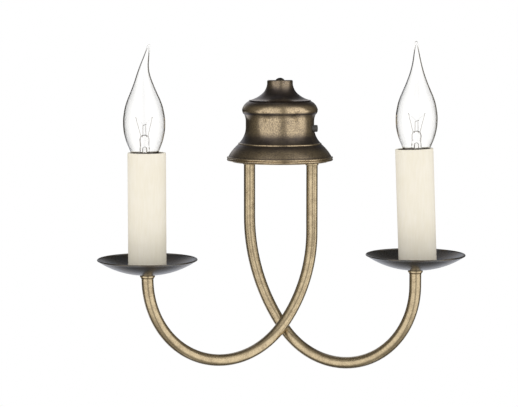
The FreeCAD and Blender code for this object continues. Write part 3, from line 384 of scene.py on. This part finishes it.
class Outline:
    """Lathe outline in the XZ plane, in millimetres, drawn by its last point."""

    SAME_SPOT = 0.0005  # vertices nearer than this are one

    def __init__(self, across, up):
        self.mesh = bmesh.new()
        self.last = self.first = self.mesh.verts.new((across, 0.0, up))

    def line(self, across, up):
        self.last = bmesh.ops.extrude_vert_indiv(self.mesh, verts=[self.last])["verts"][0]
        self.last.co = (across, 0.0, up)
        return self

    def arc(self, across, up, radius, side="left", steps=6):
        """Arc to a point, its centre on that side of the way there."""
        start, end = self.last.co.copy(), Vector((across, 0.0, up))
        chord = end - start
        sign = 1.0 if side == "left" else -1.0
        normal = Vector((-chord.z, 0.0, chord.x)).normalized()
        depth = math.sqrt(max(radius ** 2 - (chord.length / 2) ** 2, 0.0))
        angle = 2 * math.asin(min(chord.length / 2 / radius, 1.0))
        made = bmesh.ops.spin(
            self.mesh, geom=[self.last], cent=(start + end) / 2 + normal * depth * sign,
            axis=(0.0, -1.0, 0.0), angle=angle * sign, steps=steps)
        verts = [item for item in made["geom_last"] if isinstance(item, bmesh.types.BMVert)]
        self.last = verts[0]
        self.last.co = end
        return self

    def through(self, points):
        """Smooth line through points, as a curve with automatic handles gives it."""
        curve = bpy.data.curves.new("outline", "CURVE")
        curve.dimensions = "3D"
        curve.resolution_u = 5
        spline = curve.splines.new("BEZIER")
        spots = [(self.last.co.x, self.last.co.z), *points]
        spline.bezier_points.add(len(spots) - 1)
        for point, (across, up) in zip(spline.bezier_points, spots):
            point.co = (across, 0.0, up)
            point.handle_left_type = point.handle_right_type = "AUTO"
        holder = bpy.data.objects.new("outline", curve)
        for vertex in bpy.data.meshes.new_from_object(holder).vertices[1:]:
            self.line(max(vertex.co.x, 0.0), vertex.co.z)
        bpy.data.objects.remove(holder)
        return self

    def close(self):
        self.mesh.edges.new((self.last, self.first))
        return self

    def turn(self, steps):
        """Full turn about Z, with its seam and poles closed."""
        mesh = self.mesh
        bmesh.ops.spin(
            mesh, geom=mesh.verts[:] + mesh.edges[:], cent=(0.0, 0.0, 0.0),
            axis=(0.0, 0.0, 1.0), angle=math.tau, steps=steps, use_merge=True)
        bmesh.ops.remove_doubles(mesh, verts=mesh.verts[:], dist=self.SAME_SPOT)
        bmesh.ops.recalc_face_normals(mesh, faces=mesh.faces[:])
        return mesh


def seat(side):
    """Middle of a dish's floor, found from the ring under it."""
    low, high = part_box(side + "_dish_collar")
    return Vector(((low.x + high.x) / 2, (low.y + high.y) / 2, high.z + sizes().dish_wall))


def standing(spot, lean=0.0, turn=0.0):
    """Millimetre shapes stood on a spot: turned about their axis, then leaned about Y."""
    return (Matrix.Translation(spot) @ Matrix.Rotation(math.radians(lean), 4, "Y")
            @ Matrix.Rotation(math.radians(turn), 4, "Z") @ Matrix.Scale(MM, 4))


def new_piece(name, mesh, where, slot, body, *nodes, sharp=35.0):
    """Make an object of a mesh, finish it, hang it on its body and hide the parts it stands in
    for.
    """
    bmesh.ops.transform(mesh, matrix=where, verts=mesh.verts[:])
    data = bpy.data.meshes.new(name)
    mesh.to_mesh(data)
    mesh.free()
    data.shade_smooth()
    data.set_sharp_from_angle(angle=math.radians(sharp))
    data.materials.append(finish(slot))
    piece = bpy.data.objects.new(name, data)
    bpy.context.scene.collection.objects.link(piece)
    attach(piece, body)
    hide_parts(*nodes)
    return piece


def mark(mesh, name, amount):
    """Store an amount on each vertex, from its place in the piece's own millimetres."""
    layer = mesh.verts.layers.float.new(name)
    for vertex in mesh.verts:
        vertex[layer] = amount(vertex.co)


# Degrees that the bulbs and sleeves lean about Y, and where a sleeve's foot stands, in
# millimetres to the right of the dish's middle and above its floor
BULB_LEANS = {"left": -0.9, "right": 0.0}
SLEEVE_LEANS = {"left": 0.0, "right": -2.2}
SLEEVE_SHIFTS = {"left": 0.0, "right": 2.0}
SLEEVE_FOOT = 2.2
TUBE_BORE = 5.1  # radius of the holes that the arm's end goes through


def make_dish(side):
    """Spun dish: a flat floor, one long curve out, and a bead rolled round the rim."""
    size = sizes()
    rim, wall, bead = size.dish_radius / MM, size.dish_wall / MM, size.dish_rim / MM
    top, flat, curve = 12.0, 9.0, 71.0
    tuck, roll = 0.1, 1.05
    curve_steps, bead_steps = 28, 6
    shape = Outline(TUBE_BORE, -wall).line(flat, -wall)
    shape.arc(rim - bead, top - 2 * bead + tuck, curve, steps=curve_steps)
    shape.arc(rim, top - bead, bead * roll, steps=bead_steps - 1)
    shape.arc(rim - bead, top, bead, steps=bead_steps)
    shape.arc(rim - 2 * bead, top - bead, bead, steps=bead_steps)
    shape.arc(flat, 0.0, curve - wall, "right", steps=curve_steps).line(TUBE_BORE, 0.0)
    new_piece(side + "_drip_dish", shape.close().turn(128), standing(seat(side)),
              "dish_bronze", "root", side + "_dish")


# Each step of a ring nut: radii, and heights from the dish floor, which is 0
RING_COLLAR, RING_COLLAR_TOP, RING_COLLAR_LOW = 5.8, -1.0, -1.3
RING_BEAD, RING_BEAD_LOW, RING_BEAD_ROUND = 5.9, -3.8, 2.0
RING_GROOVE, RING_GROOVE_TOP, RING_GROOVE_LOW = 5.3, -3.9, -4.3
RING_FOOT, RING_FOOT_LOW, RING_FOOT_ROUND = 5.35, -4.6, 0.2


def make_dish_ring(side):
    """Ring nut under a dish: collar, fat bead and small foot, with a groove above the foot."""
    margin = 0.05
    shape = Outline(TUBE_BORE, RING_COLLAR_TOP).line(RING_COLLAR, RING_COLLAR_TOP)
    shape.line(RING_COLLAR, RING_COLLAR_LOW)
    shape.arc(RING_BEAD, RING_BEAD_LOW, RING_BEAD_ROUND, "right", steps=12)
    shape.line(RING_GROOVE, RING_GROOVE_TOP).line(RING_GROOVE, RING_GROOVE_LOW)
    shape.arc(RING_FOOT, RING_FOOT_LOW, RING_FOOT_ROUND, "right", steps=3)
    mesh = shape.line(TUBE_BORE, RING_FOOT_LOW).close().turn(64)
    # Dark patches on the collar under the dish, in the groove and on the foot; only the bead
    # stays bright
    bright = (RING_BEAD_LOW - margin, RING_COLLAR_LOW + margin)
    mark(mesh, "tarnish", lambda spot: 0.0 if bright[0] < spot.z < bright[1] else 1.0)
    new_piece(side + "_dish_ring", mesh, standing(seat(side)), "ring_brass", "root",
              side + "_dish_collar", sharp=40.0)


def make_sleeve(side):
    """Card tube with softly rounded top edges."""
    size = sizes()
    outside, top = size.sleeve_radius / MM, size.sleeve_length / MM
    inside = outside - size.sleeve_wall / MM
    edge, margin = 0.5, 0.01
    shape = Outline(inside, 0.0).line(outside, 0.0).line(outside, top - edge)
    shape.arc(outside - edge, top, edge, steps=4).line(inside + edge, top)
    shape.arc(inside, top - edge, edge, steps=4)
    mesh = shape.close().turn(96)
    mark(mesh, "inside", lambda spot: 1.0 if spot.xy.length < inside + margin else 0.0)
    foot = seat(side) + Vector((SLEEVE_SHIFTS[side], 0.0, SLEEVE_FOOT)) * MM
    new_piece(side + "_sleeve", mesh, standing(foot, SLEEVE_LEANS[side]), "sleeve_ivory",
              "root", side + "_candle_sleeve")


GLASS_OUTSIDE = (
    # Radius and height above the dish floor, from the tip down to the neck
    (0.55, 190.75), (1.1, 190.0), (1.5, 187.5), (2.1, 183.0), (3.1, 177.0), (4.3, 171.0),
    (5.9, 165.0), (8.7, 157.0), (11.6, 150.0), (14.5, 143.0), (16.4, 136.0), (17.5, 124.0),
    (15.6, 112.0), (11.8, 102.0), (9.0, 94.0), (7.0, 89.0), (6.5, 85.0), (6.5, 81.6),
)
GLASS_TIP = 190.9
# The inside keeps its distance from the outside up to the solid tip, where it closes
GLASS_HOLLOW_FROM = 3
GLASS_HOLLOW_TIP = ((0.6, 187.0), (0.0, 189.3))
# The tip bends from one height to another and goes on straight, leaning by the slope
BEND_SLOPE, BEND_START, BEND_END = 0.26, 163.0, 176.0
BEND_TURNS = {"left": 0.0, "right": -104.0}


def bend_offset(height):
    """How far the bent tip has left the axis at a height."""
    reach = BEND_END - BEND_START
    way = min(max(height - BEND_START, 0.0), reach)
    return BEND_SLOPE * (way ** 2 / (2 * reach) + max(height - BEND_END, 0.0))


def new_glass(name, mesh, side, turn, node, sharp):
    """Glass of a bulb, kept out of mirror reflections in the metal."""
    where = standing(seat(side), BULB_LEANS[side], turn)
    piece = new_piece(name, mesh, where, "bulb_glass", side + "_bulb", node, sharp=sharp)
    piece.visible_glossy = False


def make_glass(side):
    """Envelope, hollow up into its bent tip and open at the neck."""
    wall = sizes().glass_wall / MM
    neck_radius, neck_height = GLASS_OUTSIDE[-1]
    shape = Outline(0.0, GLASS_TIP).through(GLASS_OUTSIDE).line(neck_radius - wall, neck_height)
    hollow = reversed(GLASS_OUTSIDE[GLASS_HOLLOW_FROM:-1])
    shape.through([*((radius - wall, height) for radius, height in hollow), *GLASS_HOLLOW_TIP])
    mesh = shape.turn(72)
    for vertex in mesh.verts:
        vertex.co.x += bend_offset(vertex.co.z)
    new_glass(side + "_envelope", mesh, side, BEND_TURNS[side], side + "_bulb_glass", 60.0)


STEM_TOP = 116.2
STEM_BEAD = ((2.0, 115.7), (3.6, 114.3), (4.2, 112.0), (4.1, 110.0), (3.9, 108.0))
STEM_BEAD_LOW = 107.5
STEM_NECK = (4.0, 106.0)
STEM_SHOULDER, STEM_TUBE_HIGH, STEM_TUBE_LOW, STEM_FLARE = 103.5, 102.0, 86.5, 84.6
STEM_FOOT, STEM_FOOT_INSIDE = (5.6, 83.0), (4.9, 83.0)
STEM_BORE, STEM_BORE_WIDE, STEM_BORE_LOW, STEM_BORE_HIGH = 1.4, 87.0, 90.0, 103.0
STEM_BORE_TIP = ((1.2, 105.0), (0.7, 106.0), (0.0, 106.3))
STEM_THIN = 0.4  # how thick the glass of the tube below the bead counts, where the bead is 1


def make_stem(side):
    """Glass tube with a flared foot, pinched to a solid bead round the wires."""
    radius = sizes().stem_radius / MM
    outside, inside, widening = 0.4, 0.7, 0.2
    shape = Outline(0.0, STEM_TOP).through(STEM_BEAD)
    shape.through([STEM_NECK, (radius, STEM_SHOULDER), (radius, STEM_TUBE_HIGH)])
    shape.line(radius, STEM_TUBE_LOW).through([(radius + outside, STEM_FLARE), STEM_FOOT])
    shape.line(*STEM_FOOT_INSIDE)
    shape.through([(radius - inside, STEM_FLARE), (STEM_BORE + widening, STEM_BORE_WIDE),
                   (STEM_BORE, STEM_BORE_LOW)])
    shape.line(STEM_BORE, STEM_BORE_HIGH).through(STEM_BORE_TIP)
    mesh = shape.turn(48)
    mark(mesh, "thick", lambda spot: 1.0 if spot.z > STEM_BEAD_LOW else STEM_THIN)
    new_glass(side + "_stem", mesh, side, 0.0, side + "_bulb_stem", 50.0)


ROD_SIDES = 10
COIL_SIDES = 5
COIL_STEPS = 9  # for each turn of a coil


def along(start, end):
    """Turn that points Z from start to end."""
    return (end - start).to_track_quat("Z", "Y").to_matrix().to_4x4()


def add_rod(mesh, start, end, radius):
    """Straight wire between two points."""
    start, end = Vector(start), Vector(end)
    bmesh.ops.create_cone(
        mesh, cap_ends=True, segments=ROD_SIDES, radius1=radius, radius2=radius,
        depth=(end - start).length,
        matrix=Matrix.Translation((start + end) / 2) @ along(start, end))


def add_ball(mesh, spot, radius):
    """Drop of metal on the end of a wire."""
    bmesh.ops.create_icosphere(mesh, subdivisions=2, radius=radius,
                               matrix=Matrix.Translation(spot))


def add_coil(mesh, start, end, radius, thread, turns):
    """Wound filament between two points, spun as a screw."""
    start, end = Vector(start), Vector(end)
    steps = COIL_STEPS * turns
    upright = Matrix.Translation((radius, 0, 0)) @ Matrix.Rotation(math.pi / 2, 4, "X")
    coil = bmesh.new()
    ring = bmesh.ops.create_circle(coil, segments=COIL_SIDES, radius=thread, matrix=upright)
    bmesh.ops.spin(
        coil, geom=ring["verts"] + coil.edges[:], cent=(0, 0, 0), axis=(0, 0, 1),
        angle=math.tau * turns, dvec=(0, 0, (end - start).length / steps), steps=steps)
    ends = [edge for edge in coil.edges if edge.is_boundary]
    bmesh.ops.holes_fill(coil, edges=ends, sides=COIL_SIDES)
    bmesh.ops.recalc_face_normals(coil, faces=coil.faces[:])
    where = Matrix.Translation(start) @ along(start, end)
    bmesh.ops.transform(coil, matrix=where, verts=coil.verts[:])
    made = bpy.data.meshes.new("coil")
    coil.to_mesh(made)
    coil.free()
    mesh.from_mesh(made)
    bpy.data.meshes.remove(made)


FILAMENT_TURNS = {"left": 8.0, "right": -12.0}
# Millimetres from the bulb's axis, and heights above the dish floor
LEG_FOOT, LEG_TIP, LEG_FOOT_HEIGHT, LEG_TIP_HEIGHT, LEG_BALL = 2.6, 6.9, 113.6, 130.5, 0.35
TWIN_FOOT, TWIN_TIP, TWIN_HEIGHT = 1.3, 1.15, 123.7
HOOK_START, HOOK_END, HOOK_DIP, HOOK_RISE, HOOK_BALL = -1.3, 1.5, 0.1, 0.9, 0.4
COIL_SEAT, COIL_THREAD, COIL_TURNS = 0.4, 0.04, 21


def make_filament(side):
    """Two slanted legs, twin middle wires with a hook, and the coil hung between them."""
    size = sizes()
    wire, coil = size.wire_radius / MM, size.coil_radius / MM
    mesh = bmesh.new()
    for sign in (-1, 1):
        tip = (sign * LEG_TIP, 0.0, LEG_TIP_HEIGHT)
        add_rod(mesh, (sign * LEG_FOOT, 0.0, LEG_FOOT_HEIGHT), tip, wire)
        add_rod(mesh, (sign * TWIN_FOOT, 0.0, LEG_FOOT_HEIGHT),
                (sign * TWIN_TIP, 0.0, TWIN_HEIGHT), wire)
        add_ball(mesh, tip, LEG_BALL)
        add_coil(mesh, tip, (0.0, 0.0, TWIN_HEIGHT + COIL_SEAT), coil, COIL_THREAD, COIL_TURNS)
    hook = (HOOK_END, 0.0, TWIN_HEIGHT + HOOK_RISE)
    add_rod(mesh, (HOOK_START, 0.0, TWIN_HEIGHT - HOOK_DIP), hook, wire)
    add_ball(mesh, hook, HOOK_BALL)
    where = standing(seat(side), BULB_LEANS[side], FILAMENT_TURNS[side])
    new_piece(side + "_wires", mesh, where, "wire_metal", side + "_bulb", side + "_filament")


def make_button():
    """Push button: rod, thumb end with a soft edge and a shallow dome."""
    radius = sizes().button_radius / MM
    low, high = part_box("switch_button")
    end = high.x / MM
    neck, rod_end = end - 6.2, end - 16.2
    rod, shoulder, edge, dome, dome_round = 1.8, 0.3, 0.9, 0.2, 12.5
    shape = Outline(0.0, rod_end).line(rod, rod_end).line(rod, neck)
    shape.line(radius - shoulder, neck).arc(radius, neck + shoulder, shoulder, steps=3)
    shape.line(radius, end - edge - dome).arc(radius - edge, end - dome, edge, steps=6)
    shape.arc(0.0, end, dome_round, steps=5)
    middle = Vector((0.0, (low.y + high.y) / 2, (low.z + high.z) / 2))
    where = (Matrix.Translation(middle) @ Matrix.Rotation(math.pi / 2, 4, "Y")
             @ Matrix.Scale(MM, 4))
    new_piece("push_button", shape.turn(48), where, "switch_plastic", "button", "switch_button")


# --- Stage ---------------------------------------------------------------------------

FOCAL_PIXELS = 1800.0
FRAME_PIXELS = 518.0
CAMERA_SPOT = (-0.0186, -1.599, 0.08125)
CAMERA_PITCH = 5.569
FLOOR_RADIUS = 4.0
FLOOR_HEIGHT = -1.8


def make_camera():
    """Camera at the photograph's angle, looking slightly down at the wall."""
    data = bpy.data.cameras.new("camera")
    data.sensor_width = 36.0
    data.lens = FOCAL_PIXELS / FRAME_PIXELS * data.sensor_width
    data.clip_start, data.clip_end = 0.05, 50.0
    camera = bpy.data.objects.new("camera", data)
    camera.location = CAMERA_SPOT
    camera.rotation_euler = (math.radians(90.0 - CAMERA_PITCH), 0.0, 0.0)
    bpy.context.scene.collection.objects.link(camera)
    bpy.context.scene.camera = camera


def make_floor():
    """Pale studio floor, well below the wall light."""
    mesh = bmesh.new()
    bmesh.ops.create_circle(mesh, cap_ends=True, segments=96, radius=FLOOR_RADIUS,
                            matrix=Matrix.Translation((0.0, 0.0, FLOOR_HEIGHT)))
    data = bpy.data.meshes.new("floor")
    mesh.to_mesh(data)
    mesh.free()
    pale = Finish("floor", Roughness=0.9, Emission_Color=(1.0, 1.0, 1.0), Emission_Strength=0.4)
    pale.colour(pale.mix(pale.noise(300.0), (0.74, 0.74, 0.74), (0.76, 0.76, 0.76)))
    data.materials.append(pale.material)
    floor = bpy.data.objects.new("floor", data)
    bpy.context.scene.collection.objects.link(floor)
    floor.visible_glossy = False


# Light by direction, as the lamp sees it. Each row eases from one angle in degrees to
# another, and from one strength to the other. Sideways angles start between the boxes.
BOXES_MIDDLE = 10.0
BOXES_ROUNDING = 0.3  # how much a box's outer edge closes in as it rises
LIGHTS = {
    "gap": (2, 20, 0.14, 1.0),  # dark gap between the two boxes beside the camera
    "outside": (76, 94, 1.0, 0.0),
    "lid": (24, 72, 1.0, 0.12),
    "foot": (-58, -28, 0.2, 1.0),
    "under": (-86, -76, 0.5, 0.0),  # small light straight below
    "haze": (85, 150, 0.2, 0.03),  # faint light all round, less behind the wall
    "rear": (125, 155, 0.0, 1.0),
    "rear_floor": (-18, -8, 1.15, 0.0),
    "rear_floor_low": (-54, -18, 0.13, 1.0),
    "rear_sky": (150, 172, 0.12, 0.75),
    "rear_sky_low": (2, 12, 0.0, 1.0),
    "rear_sky_high": (20, 46, 1.0, 0.3),
    "soft": (-35, 15, 0.5, 1.06),  # what matt surfaces get, less from below
}
# The same, by how far a direction goes to the right and into the wall
RIGHT_BOX_BRIGHTER = (-0.6, 0.6, 0.92, 1.06)
SOFT_FROM_THE_WALL = (-0.2, 0.8, 1.05, 0.85)
WARM, COOL, HAZE = (1.12, 1.09, 1.03), (0.92, 0.95, 1.04), (1.1, 1.01, 0.79)
THROUGH_GLASS, WHITE, BLACK = (1.05, 1.05, 1.05), (1.0, 1.0, 1.0), (0.0, 0.0, 0.0)


def make_studio():
    """Soft light: two tall warm boxes beside the camera and a cool sky and floor behind.

    Mirror reflections see the boxes, matt surfaces an even soft light, and the camera and
    what is seen through glass a white room.
    """
    world = bpy.data.worlds.new("studio")
    world.use_nodes = True
    room = Graph(world.node_tree)
    parts = room.node("ShaderNodeSeparateXYZ")
    room.feed(parts.inputs[0], room.node("ShaderNodeTexCoord").outputs["Generated"])
    across, into, up = parts.outputs

    def ease(name, angle):
        low, high, first, last = LIGHTS[name]
        return room.step(angle, math.radians(low), math.radians(high), first, last)

    def times(first, *others):
        for other in others:
            first = room.math("MULTIPLY", first, other)
        return first

    turn = room.math("ARCTAN2", across, times(into, -1.0))
    turn = room.math("SUBTRACT", turn, math.radians(BOXES_MIDDLE))
    side = room.math("ABSOLUTE", turn)
    rise = room.math("ARCSINE", up)
    reach = room.math("ADD", side, times(room.math("MAXIMUM", rise, 0.0), BOXES_ROUNDING))
    boxes = times(ease("gap", side), ease("outside", reach), ease("lid", rise),
                  ease("foot", rise), room.step(across, *RIGHT_BOX_BRIGHTER))
    warm = room.math("MAXIMUM", boxes, ease("under", rise))
    rear = ease("rear", side)
    rear_floor = times(ease("rear_floor", rise), rear, ease("rear_floor_low", rise))
    rear_sky = times(ease("rear_sky", side), rear, ease("rear_sky_high", rise),
                     ease("rear_sky_low", rise))
    cool = room.math("ADD", rear_floor, rear_sky)
    glossy = BLACK
    for amount, tint in ((warm, WARM), (cool, COOL), (ease("haze", side), HAZE)):
        glossy = room.mix(1.0, glossy, room.mix(amount, BLACK, tint), "ADD")
    soft = times(ease("soft", rise), room.step(into, *SOFT_FROM_THE_WALL))
    path = room.node("ShaderNodeLightPath").outputs
    light = room.mix(path["Is Glossy Ray"], soft, glossy)
    light = room.mix(path["Is Transmission Ray"], light, THROUGH_GLASS)
    light = room.mix(path["Is Camera Ray"], light, WHITE)
    room.feed(world.node_tree.nodes["Background"].inputs["Color"], light)
    bpy.context.scene.world = world
    bpy.context.scene.view_settings.view_transform = "Standard"


# --- Operators and panel -------------------------------------------------------------

class SCONCE_OT_stage(bpy.types.Operator):
    """Set up the camera, the pale floor and the studio light"""
    bl_idname = "sconce.stage"
    bl_label = "Stage"

    def execute(self, context):
        make_camera()
        make_floor()
        make_studio()
        return {"FINISHED"}


class SCONCE_OT_metalwork(bpy.types.Operator):
    """Give every part of the frame the finish of its slot"""
    bl_idname = "sconce.metalwork"
    bl_label = "Housing, arms and fittings"

    def execute(self, context):
        known = {row["slot"] for row in frame["record"]["materials"]}
        for node in frame["nodes"].values():
            for holder in node.material_slots:
                slot = holder.material.name.split(".")[0]
                if slot not in known:
                    raise RuntimeError("no finish for " + slot)
                holder.material = finish(slot)
        return {"FINISHED"}


class SCONCE_OT_dishes(bpy.types.Operator):
    """Turn the two drip dishes with their rolled rims, and the rings under them"""
    bl_idname = "sconce.dishes"
    bl_label = "Drip dishes"

    def execute(self, context):
        for side in SIDES:
            make_dish(side)
            make_dish_ring(side)
        return {"FINISHED"}


class SCONCE_OT_sleeves(bpy.types.Operator):
    """Make the two ivory candle sleeves"""
    bl_idname = "sconce.sleeves"
    bl_label = "Candle sleeves"

    def execute(self, context):
        for side in SIDES:
            make_sleeve(side)
        return {"FINISHED"}


class SCONCE_OT_bulbs(bpy.types.Operator):
    """Blow the two bent-tip bulbs with their stems"""
    bl_idname = "sconce.bulbs"
    bl_label = "Bulb glass"

    def execute(self, context):
        for side in SIDES:
            make_glass(side)
            make_stem(side)
        return {"FINISHED"}


class SCONCE_OT_filaments(bpy.types.Operator):
    """String the filaments on their wires"""
    bl_idname = "sconce.filaments"
    bl_label = "Filaments"

    def execute(self, context):
        for side in SIDES:
            make_filament(side)
        return {"FINISHED"}


class SCONCE_OT_button(bpy.types.Operator):
    """Turn the push button"""
    bl_idname = "sconce.button"
    bl_label = "Push button"

    def execute(self, context):
        make_button()
        return {"FINISHED"}


OPERATORS = (
    SCONCE_OT_stage, SCONCE_OT_metalwork, SCONCE_OT_dishes, SCONCE_OT_sleeves,
    SCONCE_OT_bulbs, SCONCE_OT_filaments, SCONCE_OT_button,
)


class SCONCE_PT_panel(bpy.types.Panel):
    """Sizes, colours and one button for each step"""
    bl_label = "Wall Sconce"
    bl_idname = "SCONCE_PT_panel"
    bl_space_type = "VIEW_3D"
    bl_region_type = "UI"
    bl_category = "Sconce"

    def draw(self, context):
        for group in (context.scene.sconce_sizes, context.scene.sconce_colours):
            box = self.layout.box()
            for name in group.__annotations__:
                box.prop(group, name)
        for operator in OPERATORS:
            self.layout.operator(operator.bl_idname)


CLASSES = (SconceSizes, SconceColours, *OPERATORS, SCONCE_PT_panel)


def register():
    for cls in CLASSES:
        bpy.utils.register_class(cls)
    bpy.types.Scene.sconce_sizes = PointerProperty(type=SconceSizes)
    bpy.types.Scene.sconce_colours = PointerProperty(type=SconceColours)


def unregister():
    del bpy.types.Scene.sconce_sizes
    del bpy.types.Scene.sconce_colours
    for cls in reversed(CLASSES):
        bpy.utils.unregister_class(cls)


def main():
    register()
    bpy.ops.sconce.stage()
    bpy.ops.sconce.metalwork()
    bpy.ops.sconce.dishes()
    bpy.ops.sconce.sleeves()
    bpy.ops.sconce.bulbs()
    bpy.ops.sconce.filaments()
    bpy.ops.sconce.button()


if __name__ == "__main__":
    main()
